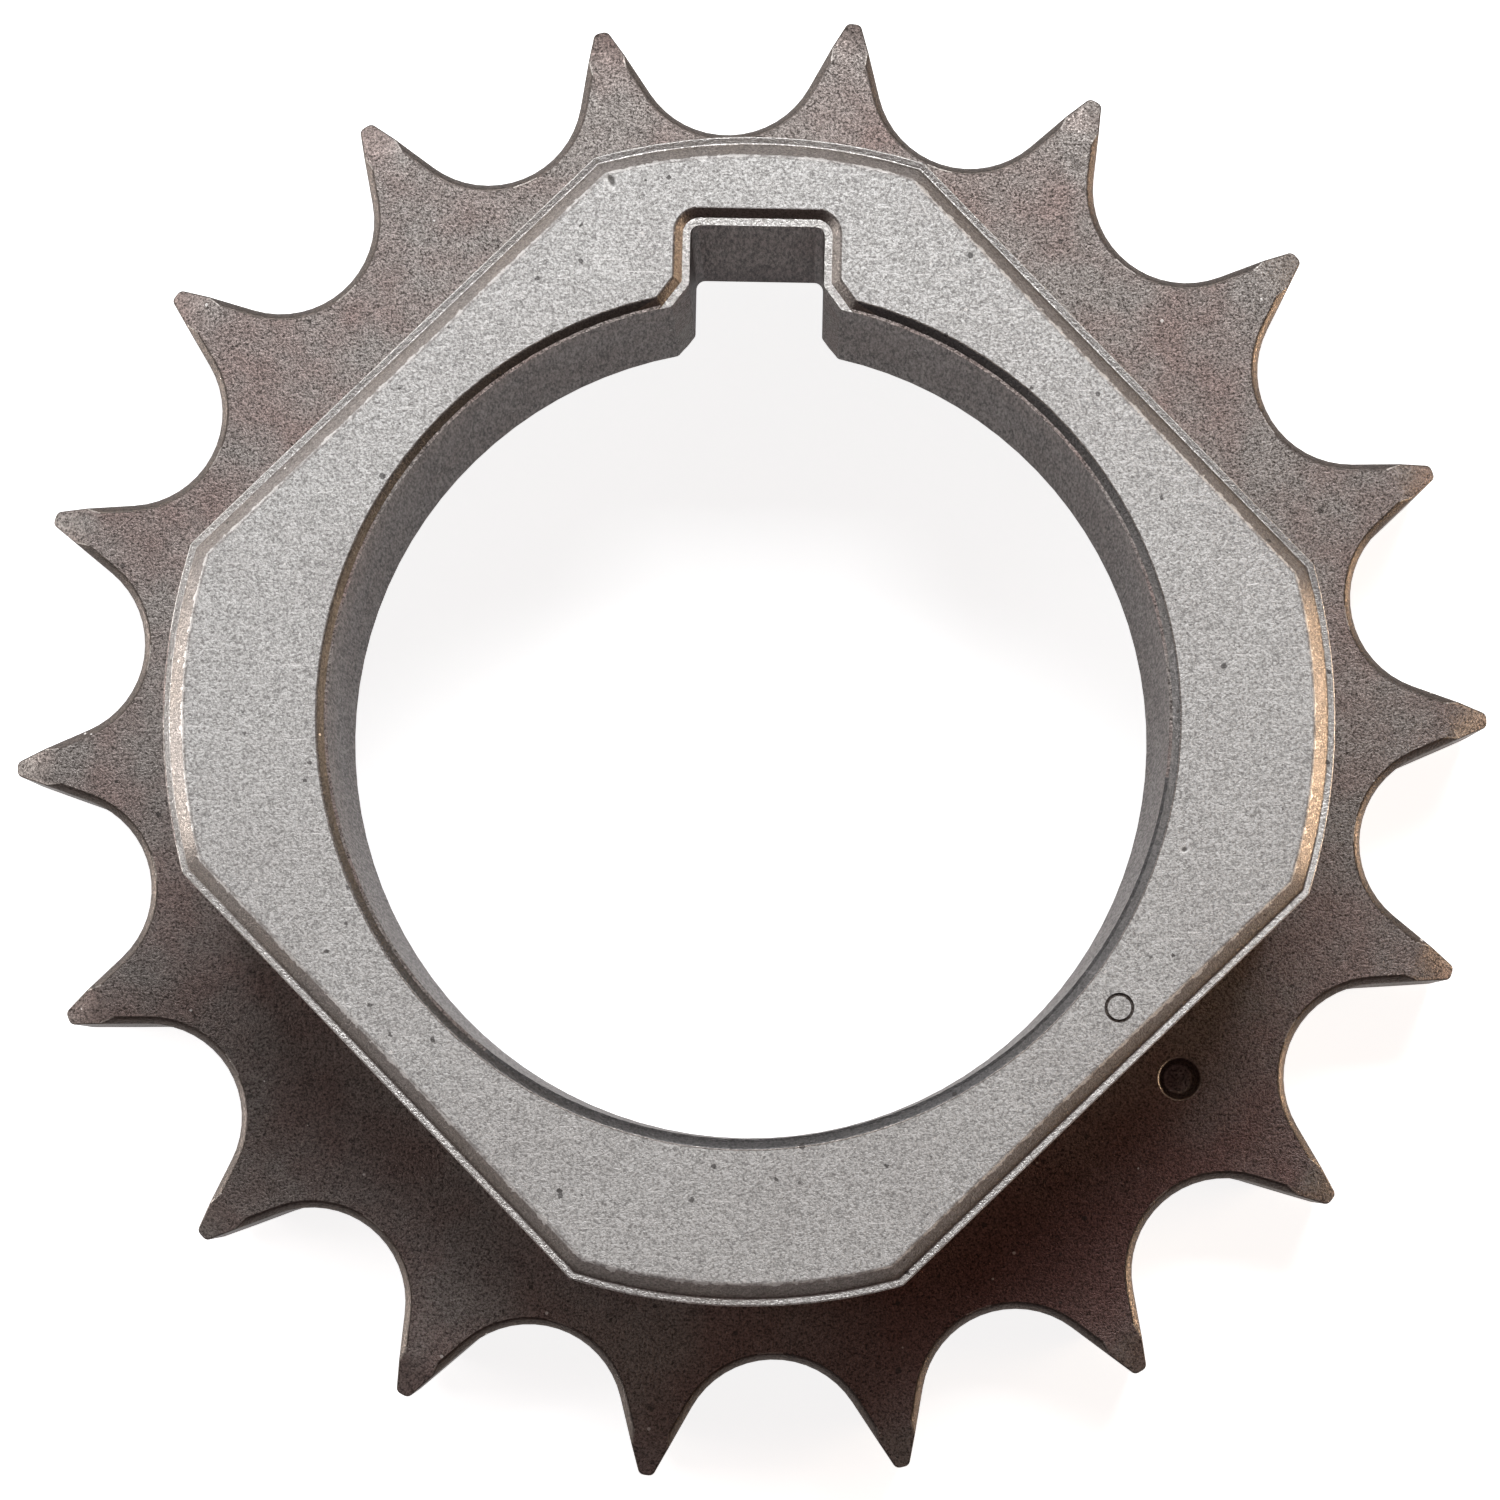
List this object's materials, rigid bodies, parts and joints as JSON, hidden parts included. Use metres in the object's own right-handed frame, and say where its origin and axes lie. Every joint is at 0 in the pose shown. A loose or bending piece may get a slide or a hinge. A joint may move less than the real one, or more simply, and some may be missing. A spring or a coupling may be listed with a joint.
{
  "type": "crankshaft sprocket",
  "caption": "Sintered steel sprocket for a single-row timing chain, with a keyed bore, a raised hub with flats and a timing mark.",
  "frame": {"origin": "on the bore's axis, in the back face that the sprocket lies on", "axes": "+Z along the bore to the hub's face, +Y to the middle of the keyway"},
  "size_m": [0.0582, 0.0578, 0.015],
  "materials": {
    "sintered_steel": "matte"
  },
  "bodies": {
    "root": {"sprocket": "sintered_steel"}
  },
  "joints": []
}
